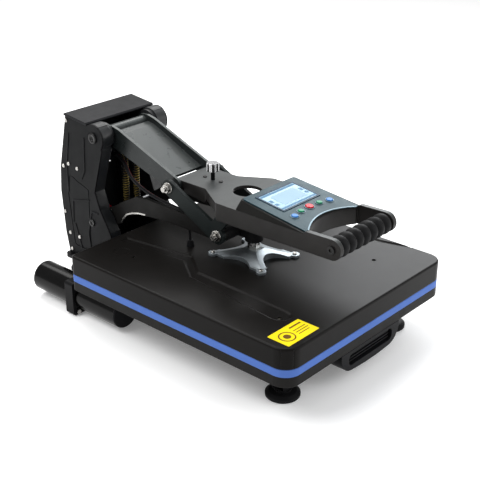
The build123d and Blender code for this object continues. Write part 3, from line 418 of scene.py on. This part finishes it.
def floor_material():
    """A plain, nearly white floor that glows a little, so that no shadow on it is dark."""
    g = Graph("floor_white")
    g.join(
        g.two_colours(g.noise(1.5, 2), (0.93, 0.93, 0.93), (0.95, 0.95, 0.95)),
        g.shader.inputs["Base Color"],
    )
    g.shader.inputs["Roughness"].default_value = 0.75
    g.shader.inputs["Emission Color"].default_value = (1, 1, 1, 1)
    g.shader.inputs["Emission Strength"].default_value = 0.16
    return g.material


lcd_glass = screen_material()
knob_metal = knob_material()
spring_wire = spring_material()

FINISHES = {
    cover_black: ("platen_cover",),
    gloss_black: ("support_tubes", "mains_inlet"),
    frame_black: (
        "base_rails", "front_crossbar", "slide_rails", "base_plate", "slide_runners",
        "tube_clamps", "spring_hanger", "loom_clip",
    ),
    tray_grey: ("lower_platen",),
    tower_charcoal: ("tower_leg_left", "tower_leg_right", "back_cover"),
    cover_charcoal: ("side_cover_left", "side_cover_right"),
    cap_charcoal: ("tower_cap",),
    link_grey: ("toggle_link",),
    plate_grey: ("side_plate_left", "side_plate_right"),
    bar_grey: ("arm_bar_left", "arm_bar_right"),
    handle_grey: ("handle_arm",),
    box_dark: ("control_box",),
    cast_dark: ("pressure_block",),
    cast_alloy: ("spider_bracket",),
    plate_alloy: ("heating_plate",),
    turned_steel: (
        "pressure_rod", "pivot_sleeve", "spring_bar", "front_axle", "elbow_pin",
        "upper_pivot_pin", "lower_pivot_pin", "grip_bar",
    ),
    zinc: (
        "clamp_bolts", "side_cover_screws", "pressure_nuts", "spider_screws", "side_plate_nuts",
    ),
    black_screw: ("handle_screws",),
    knob_metal: ("pressure_knob",),
    black_plastic: ("tube_end_plugs", "drawer_pull", "cable_gland"),
    black_rubber: ("rubber_feet", "rubber_grip"),
    pad_blue: ("silicone_pad",),
    wool: ("insulation_pad",),
    panel_blue: ("control_panel",),
    lcd_glass: ("lcd_screen",),
    spring_wire: ("lift_springs",),
    wire_black: ("cable_loom",),
    button_blue: ("button_up", "button_down"),
    button_green: ("button_set", "button_mode"),
    button_red: ("button_start", "power_switch"),
}
for material, names in FINISHES.items():
    for node_name in names:
        nodes[node_name].data.materials.clear()
        nodes[node_name].data.materials.append(material)

# ------------------------------------------------------------------------------------ mesh helpers


def piece(name, mesh, material, body, smooth=True):
    """A finished mesh as an object that rides on a body, if one is named."""
    mesh.materials.clear()
    mesh.materials.append(material)
    if smooth:
        mesh.polygons.foreach_set("use_smooth", [True] * len(mesh.polygons))
    made = bpy.data.objects.new(name, mesh)
    scene.collection.objects.link(made)
    if body:
        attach(made, body)
    return made


def from_bmesh(name, bm):
    """A mesh from a bmesh, with its faces turned outwards."""
    bmesh.ops.remove_doubles(bm, verts=bm.verts, dist=1e-7)
    bmesh.ops.recalc_face_normals(bm, faces=bm.faces)
    mesh = bpy.data.meshes.new(name)
    bm.to_mesh(mesh)
    bm.free()
    return mesh


def add_lathe(bm, profile, place, axis=(0, 0, 1), segments=40):
    """Adds a closed turned shape: profile is (radius, height) in mm, along axis from place."""
    turn = Vector(axis).to_track_quat("Z", "Y").to_matrix().to_4x4()
    to_world = Matrix.Translation(Vector(place) * MM) @ turn
    rings = []
    for radius, height in profile:
        count = 1 if radius == 0 else segments
        rings.append([
            bm.verts.new(to_world @ Vector((
                radius * MM * math.cos(2 * math.pi * i / segments),
                radius * MM * math.sin(2 * math.pi * i / segments),
                height * MM,
            )))
            for i in range(count)
        ])
    for low, high in zip(rings, rings[1:]):
        for i in range(segments):
            j = (i + 1) % segments
            corners = list(dict.fromkeys((
                low[i % len(low)], low[j % len(low)], high[j % len(high)], high[i % len(high)],
            )))
            if len(corners) > 2:
                bm.faces.new(corners)


def join_rings(bm, rings):
    """Walls between rings of equal count, and a face over the first and the last."""
    count = len(rings[0])
    for below, above in zip(rings, rings[1:]):
        for i in range(count):
            j = (i + 1) % count
            bm.faces.new((below[i], below[j], above[j], above[i]))
    bm.faces.new(rings[0][::-1])
    bm.faces.new(rings[-1])


def add_prism(bm, outline, plane, low, high):
    """Adds a prism: outline is (x, y) in mm in the matrix's plane, from low to high on its Z."""
    join_rings(bm, [
        [bm.verts.new(plane @ Vector((x * MM, y * MM, level * MM))) for x, y in outline]
        for level in (low, high)
    ])


def add_trough(bm, outline, spread, low, high, above=3):
    """Adds a closed shape in mm: a flat floor, walls that spread outwards, and a lid above."""
    count = len(outline)
    area = sum(
        outline[i][0] * outline[(i + 1) % count][1] - outline[(i + 1) % count][0] * outline[i][1]
        for i in range(count)
    )
    turn = 1 if area > 0 else -1
    wide = []
    for i, (x, y) in enumerate(outline):
        ahead = Vector(outline[(i + 1) % count]) - Vector((x, y))
        behind = Vector((x, y)) - Vector(outline[i - 1])
        along = (ahead.normalized() + behind.normalized()).normalized()
        wide.append((x + turn * spread * along.y, y - turn * spread * along.x))
    levels = ((outline, low), (wide, high), (wide, high + above))
    join_rings(bm, [
        [bm.verts.new(Vector((x, y, z)) * MM) for x, y in ring] for ring, z in levels
    ])


def rounded_rect(cx, cy, width, height, radius, steps=5):
    """Points round a rectangle with round corners."""
    points = []
    for corner, (sx, sy) in enumerate(((1, 1), (-1, 1), (-1, -1), (1, -1))):
        for k in range(steps + 1):
            angle = math.pi / 2 * (corner + k / steps)
            points.append((
                cx + sx * (width / 2 - radius) + radius * math.cos(angle),
                cy + sy * (height / 2 - radius) + radius * math.sin(angle),
            ))
    return points


def circle(cx, cy, radius, count=32):
    """Points round a circle."""
    angles = [2 * math.pi * i / count for i in range(count)]
    return [(cx + radius * math.cos(a), cy + radius * math.sin(a)) for a in angles]


SHARPEST_MITRE = 0.5  # a corner reaches out to twice the half width at most


def ribbon(points, half_width, cap_steps=6):
    """The outline of a band of even width along points, with round ends."""
    left, right = [], []
    for i, point in enumerate(points):
        before = Vector(points[max(0, i - 1)])
        after = Vector(points[min(len(points) - 1, i + 1)])
        here = Vector(point)
        side_in = (here - before).normalized() if i else (after - here).normalized()
        side_out = (after - here).normalized() if i < len(points) - 1 else side_in
        normal = Vector((-(side_in + side_out).y, (side_in + side_out).x)).normalized()
        lean = normal.dot(Vector((-side_in.y, side_in.x)))
        reach = half_width / max(SHARPEST_MITRE, lean)
        left.append(tuple(here + normal * reach))
        right.append(tuple(here - normal * reach))

    def cap(centre, start):
        angle = math.atan2(start[1] - centre[1], start[0] - centre[0])
        return [
            (
                centre[0] + half_width * math.cos(angle - math.pi * k / cap_steps),
                centre[1] + half_width * math.sin(angle - math.pi * k / cap_steps),
            )
            for k in range(1, cap_steps)
        ]

    return left + cap(points[-1], left[-1]) + right[::-1] + cap(points[0], right[0])


def cut(target, cutters):
    """Subtracts a mesh of closed shapes from the target for good."""
    cutter = bpy.data.objects.new("cutter", cutters)
    scene.collection.objects.link(cutter)
    modifier = target.modifiers.new("cut", "BOOLEAN")
    modifier.operation = "DIFFERENCE"
    modifier.solver = "EXACT"
    modifier.object = cutter
    bpy.context.view_layer.update()
    evaluated = target.evaluated_get(bpy.context.evaluated_depsgraph_get())
    result = bpy.data.meshes.new_from_object(evaluated)
    target.modifiers.clear()
    target.data = result
    bpy.data.objects.remove(cutter)


# The planes that outlines are drawn on: level with the floor, and on the control panel.
LEVEL = Matrix.Identity(4)
panel_normal = Vector((0, -PANEL_SLOPE, 1)).normalized()
panel_up = panel_normal.cross(Vector((1, 0, 0)))
PANEL = Matrix.Translation(Vector((0, PANEL_Y, PANEL_BASE_Z)) * MM) @ Matrix((
    (1, panel_up.x, panel_normal.x, 0),
    (0, panel_up.y, panel_normal.y, 0),
    (0, panel_up.z, panel_normal.z, 0),
    (0, 0, 0, 1),
))


def side_frame(x):
    """A plane facing +X at that x, whose x and y run along +Y and +Z."""
    return Matrix.Translation((x * MM, 0, 0)) @ Matrix((
        (0, 0, 1, 0), (1, 0, 0, 0), (0, 1, 0, 0), (0, 0, 0, 1),
    ))


# --------------------------------------------------------------- cover: pressed channels and holes

# As (X, Y): the outline of the long channel on the left, the middle line of the short one.
CHANNEL = (
    (-103, 140), (-81, -7), (-119, -59), (-125, -268), (-128, -278), (-136, -285), (-146, -283),
    (-153, -275), (-155, -264), (-136, -62), (-97, -8), (-118, 140),
)
SHORT_CHANNEL = ((203, -190), (207, -228), (222, -282))
CHANNEL_DEPTH, CHANNEL_SLOPE = 2.2, 4
SHORT_HALF_WIDTH, SHORT_SLOPE = 3, 2
COVER_HOLES, HOLE_R, HOLE_DEPTH = ((130.5, -264), (-146, -272), (-151, 70)), 3.6, 5
EMBOSS, EMBOSS_R, EMBOSS_DEPTH = (-150, 104), 15, 0.5
CUT_TOP_Z = COVER_TOP_Z + 2

cover = piece(
    "pressed_cover", nodes["platen_cover"].data.copy(), cover_black, "lower_arm", smooth=False
)
channel_floor = COVER_TOP_Z - CHANNEL_DEPTH
bm = bmesh.new()
add_trough(bm, CHANNEL, CHANNEL_SLOPE, channel_floor, COVER_TOP_Z)
add_trough(bm, ribbon(SHORT_CHANNEL, SHORT_HALF_WIDTH), SHORT_SLOPE, channel_floor, COVER_TOP_Z)
cut(cover, from_bmesh("channel_cuts", bm))
bm = bmesh.new()
for x, y in COVER_HOLES:
    add_prism(bm, circle(x, y, HOLE_R), LEVEL, COVER_TOP_Z - HOLE_DEPTH, CUT_TOP_Z)
add_prism(bm, circle(*EMBOSS, EMBOSS_R, 48), LEVEL, COVER_TOP_Z - EMBOSS_DEPTH, CUT_TOP_Z)
cut(cover, from_bmesh("hole_cuts", bm))
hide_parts("platen_cover")

# ------------------------------------------------------------------------------------------- label

LABEL = (-169.5, -320)
LABEL_SIZE = (77, 44)
LABEL_T, INK_T = 0.25, 0.08
LABEL_Z = COVER_TOP_Z + LABEL_T
CORNER_R, BAR_CORNER_R = 1.5, 0.6
RING, RING_IN, RING_OUT, DOT_R = (-17, -1), 12.2, 14.6, 6.5
LABEL_BARS = (  # across, along, width, height, from the label's middle
    (19, 13, 28, 3.6), (18, 3, 30, 1.8), (18, -3, 30, 1.8), (16, -9, 26, 1.8),
)

bm = bmesh.new()
add_prism(bm, rounded_rect(*LABEL, *LABEL_SIZE, CORNER_R), LEVEL, COVER_TOP_Z, LABEL_Z)
piece("blank_label", from_bmesh("blank_label", bm), label_yellow, "lower_arm", smooth=False)
bm = bmesh.new()
ring_place = (LABEL[0] + RING[0], LABEL[1] + RING[1], LABEL_Z)
add_lathe(
    bm, [(RING_IN, 0), (RING_OUT, 0), (RING_OUT, INK_T), (RING_IN, INK_T), (RING_IN, 0)],
    ring_place, segments=48,
)
add_lathe(bm, [(0, INK_T), (DOT_R, INK_T), (DOT_R, 0), (0, 0)], ring_place)
for across, along, width, height in LABEL_BARS:
    bar = rounded_rect(LABEL[0] + across, LABEL[1] + along, width, height, BAR_CORNER_R)
    add_prism(bm, bar, LEVEL, LABEL_Z, LABEL_Z + INK_T)
piece("label_marks", from_bmesh("label_marks", bm), label_ink, "lower_arm", smooth=False)

# -------------------------------------------------------------------------------------- cable loom

# The wires run between these points, from the tower's inside to along the arm.
WIRES = (  # name, shift along X and Z, radius, material
    ("loom_wire_1", 0, 0, 1.9, wire_black), ("loom_wire_2", 2.1, 2.4, 1.4, wire_red),
    ("loom_wire_3", -2.8, 1.8, 1.4, wire_black), ("loom_wire_4", 0.6, 3.4, 1.4, wire_black),
)
GATHER_Z, GATHERED = 180, 0.35  # below this height, this much of each shift is left


def wire_line(name, shift_x, shift_z):
    """The loom's route as a smooth spline, moved aside, but less so in the gland."""
    curve = bpy.data.curves.new(name, "CURVE")
    curve.dimensions = "3D"
    spline = curve.splines.new("NURBS")
    spline.points.add(len(LOOM_ROUTE) - 1)
    for point, (x, y, z) in zip(spline.points, LOOM_ROUTE):
        held = GATHERED if z < GATHER_Z else 1
        point.co = (
            (x + shift_x * held) * MM,
            (y + shift_z * (1 - held)) * MM,
            (z + shift_z * held) * MM,
            1,
        )
    spline.order_u = 3
    spline.use_endpoint_u = True
    curve.resolution_u = 10
    return curve


for name, shift_x, shift_z, radius, material in WIRES:
    line = wire_line(name, shift_x, shift_z)
    bare = bpy.data.objects.new(name + "_line", line)
    scene.collection.objects.link(bare)
    bpy.context.view_layer.update()
    centre = bpy.data.meshes.new_from_object(bare)
    line.bevel_depth = radius * MM
    line.bevel_resolution = 4
    line.use_fill_caps = True
    bpy.context.view_layer.update()
    evaluated = bare.evaluated_get(bpy.context.evaluated_depsgraph_get())
    tube = bpy.data.meshes.new_from_object(evaluated)
    bpy.data.objects.remove(bare)
    wire = piece(name, tube, material, None)
    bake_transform(wire)
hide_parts("cable_loom")

# ------------------------------------------------------------------------------------ lift springs

springs = piece(
    "lift_spring_coils", nodes["lift_springs"].data.copy(), spring_wire, None, smooth=False
)
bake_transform(springs)
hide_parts("lift_springs")

# -------------------------------------------------------------------------------------------- grip

RIBS, RIB_STEPS = 7, 12
SLEEVE_HALF, SLEEVE_BORE, SLEEVE_R = 68.5, 9.1, 14
RIB_PITCH = 2 * SLEEVE_HALF / RIBS
RIB_FOOT_R, RIB_HEIGHT, RIB_FULLNESS = 14.2, 4.4, 0.55
RIB_START, RIB_SHARE = 0.06, 0.88

profile = [(SLEEVE_BORE, 0), (SLEEVE_R, 0)]
for rib in range(RIBS):
    for step in range(RIB_STEPS + 1):
        t = step / RIB_STEPS
        swell = math.sin(math.pi * t) ** RIB_FULLNESS
        profile.append(
            (RIB_FOOT_R + RIB_HEIGHT * swell, (rib + RIB_START + RIB_SHARE * t) * RIB_PITCH)
        )
profile += [(SLEEVE_R, 2 * SLEEVE_HALF), (SLEEVE_BORE, 2 * SLEEVE_HALF), (SLEEVE_BORE, 0)]
bm = bmesh.new()
add_lathe(bm, profile, (-SLEEVE_HALF, *GRIP), (1, 0, 0), 56)
sleeve = piece("ribbed_sleeve", from_bmesh("ribbed_sleeve", bm), black_rubber, "handle_arm")
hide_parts("rubber_grip")

# ----------------------------------------------------------------------------------- control panel

# A lighter strip along the panel's front arc: a painted highlight on its bevelled edge.
ARC_HIGHLIGHT_HALF, ARC_HIGHLIGHT_FRONT, ARC_HIGHLIGHT_DEPTH, ARC_HIGHLIGHT_STEPS = 66, -143.5, 22, 24
ARC_HIGHLIGHT_HALF_WIDTH, ARC_HIGHLIGHT_SUNK, ARC_HIGHLIGHT_PROUD = 1.3, 0.6, 0.5
FRAME_W, FRAME_T, FRAME_CORNER_R = 4, 1.0, 0.6
SCREEN_T, MARK_T, MARK_CORNER_R = 0.6, 0.08, 0.8
WINDOW_X, WINDOW_SIZE, WINDOW_CORNER_R = 2, (62, 34), 1
SCREEN_BARS = (  # across, along, width, height, from the screen's middle
    (0, 24.5, 90, 5.5), (0, -24.5, 90, 4.5), (-40, 4, 7, 9), (-40, -9, 7, 7), (40, 4, 7, 9),
    (40, -9, 7, 7),
)
BEZEL = (  # beyond the button's radius, above the panel
    (0.6, 0), (2.2, 0), (2.2, 0.5), (1.6, 1.1), (0.8, 1.1), (0.6, 0.8), (0.6, 0),
)

# The painted highlight strip along the panel's front arc.
arc_highlight = []
for step in range(ARC_HIGHLIGHT_STEPS + 1):
    across = 2 * step / ARC_HIGHLIGHT_STEPS - 1
    arc_highlight.append((ARC_HIGHLIGHT_HALF * across, ARC_HIGHLIGHT_FRONT + ARC_HIGHLIGHT_DEPTH * (1 - across ** 2)))
bm = bmesh.new()
add_prism(bm, ribbon(arc_highlight, ARC_HIGHLIGHT_HALF_WIDTH), PANEL, PANEL_T - ARC_HIGHLIGHT_SUNK, PANEL_T + ARC_HIGHLIGHT_PROUD)
piece(
    "panel_arc_highlight", from_bmesh("panel_arc_highlight", bm), panel_trim, "handle_arm", smooth=False
)

bm = bmesh.new()
for across, along, width, height in (
    (0, LCD_V + LCD_H / 2 + FRAME_W / 2, LCD_W + 2 * FRAME_W, FRAME_W),
    (0, LCD_V - LCD_H / 2 - FRAME_W / 2, LCD_W + 2 * FRAME_W, FRAME_W),
    (LCD_W / 2 + FRAME_W / 2, LCD_V, FRAME_W, LCD_H),
    (-LCD_W / 2 - FRAME_W / 2, LCD_V, FRAME_W, LCD_H),
):
    strip = rounded_rect(across, along, width, height, FRAME_CORNER_R)
    add_prism(bm, strip, PANEL, PANEL_T, PANEL_T + FRAME_T)
piece("screen_surround", from_bmesh("screen_surround", bm), lcd_frame, "handle_arm", smooth=False)

screen_top = PANEL_T + SCREEN_T
bm = bmesh.new()
for across, along, width, height in SCREEN_BARS:
    bar = rounded_rect(across, LCD_V + along, width, height, MARK_CORNER_R)
    add_prism(bm, bar, PANEL, screen_top, screen_top + MARK_T)
piece("screen_bars", from_bmesh("screen_bars", bm), mark_blue, "handle_arm", smooth=False)
bm = bmesh.new()
window = rounded_rect(WINDOW_X, LCD_V, *WINDOW_SIZE, WINDOW_CORNER_R)
add_prism(bm, window, PANEL, screen_top, screen_top + MARK_T)
piece("screen_window", from_bmesh("screen_window", bm), mark_white, "handle_arm", smooth=False)

for index, (across, along, radius) in enumerate(BUTTONS):
    bm = bmesh.new()
    add_lathe(
        bm, [(radius + beyond, height) for beyond, height in BEZEL],
        (PANEL @ Vector((across * MM, along * MM, PANEL_T * MM))) / MM, panel_normal,
    )
    piece(f"button_bezel_{index + 1}", from_bmesh("bezel", bm), panel_trim, "handle_arm")

# ------------------------------------------------------------------------------------- tower sides

RIB_HALF_WIDTH, RIB_PROUD = 1.7, 1.1
# Plugs over the ends of the two pivot pins, with a dimple: radius, height.
UPPER_PLUG = ((0, 1.2), (4.2, 1.2), (4.8, 3.4), (9.5, 3.4), (10.5, 2.6), (10.8, 0), (0, 0))
LOWER_PLUG = ((0, 0.8), (3.2, 0.8), (3.8, 2.4), (7, 2.4), (7.6, 0), (0, 0))
RIB_RUNS = (  # as (Y, Z)
    ((272, 300), (276, 232), (286, 214)),
    ((318, 300), (330, 232), (330, 176)),
    ((268, 172), (318, 160), (322, 112)),
    ((244, 150), (262, 150), (276, 100), (270, 56)),
    ((300, 60), (316, 108)),
)
for side, sign in SIDES:
    bm = bmesh.new()
    for run in RIB_RUNS:
        rib = ribbon(run, RIB_HALF_WIDTH)
        add_prism(bm, rib, side_frame(sign * SIDE_COVER_X), 0, sign * RIB_PROUD)
    piece(f"side_ribs_{side}", from_bmesh("side_ribs", bm), cover_charcoal, "base", smooth=False)
    bm = bmesh.new()
    for profile, pivot in ((UPPER_PLUG, UPPER_PIVOT), (LOWER_PLUG, LOWER_PIVOT)):
        add_lathe(bm, profile, (sign * SIDE_COVER_X, *pivot), (sign, 0, 0))
    piece(f"pivot_plugs_{side}", from_bmesh("pivot_plugs", bm), black_screw, "base")

# -------------------------------------------------------------------------------- linkage hardware

WASHER = (  # radius, height
    (5.1, 0), (10.4, 0), (10.8, 0.4), (10.8, 1.1), (10.4, 1.5), (5.1, 1.5), (5.1, 0),
)
for side, sign in SIDES:
    bm = bmesh.new()
    for pivot in (ELBOW, FRONT_PIVOT):
        add_lathe(bm, WASHER, (sign * SIDE_PLATE_X, *pivot), (sign, 0, 0))
    piece(f"nut_washers_{side}", from_bmesh("nut_washers", bm), zinc, "handle_arm")

# The bright lower edge of each arm bar, as (Y, Z).
BAR_EDGE = ((208, 133), (200, 146), (190, 156), (174, 163), (156, 168), (138, 170))
EDGE_HALF_WIDTH, EDGE_PROUD = 1.6, 0.5
for side, sign in SIDES:
    bm = bmesh.new()
    edge = ribbon(BAR_EDGE, EDGE_HALF_WIDTH)
    add_prism(bm, edge, side_frame(sign * ARM_BAR_X), 0, sign * EDGE_PROUD)
    piece(f"bar_edge_{side}", from_bmesh("bar_edge", bm), zinc, "lower_arm", smooth=False)

# ------------------------------------------------------------------------------------------- floor

FLOOR_HALF, FLOOR_DROP = 12, 0.0004
bm = bmesh.new()
bmesh.ops.create_grid(bm, x_segments=2, y_segments=2, size=FLOOR_HALF)
floor = piece("floor", from_bmesh("floor", bm), floor_material(), None, smooth=False)
floor.location.z = -FLOOR_DROP
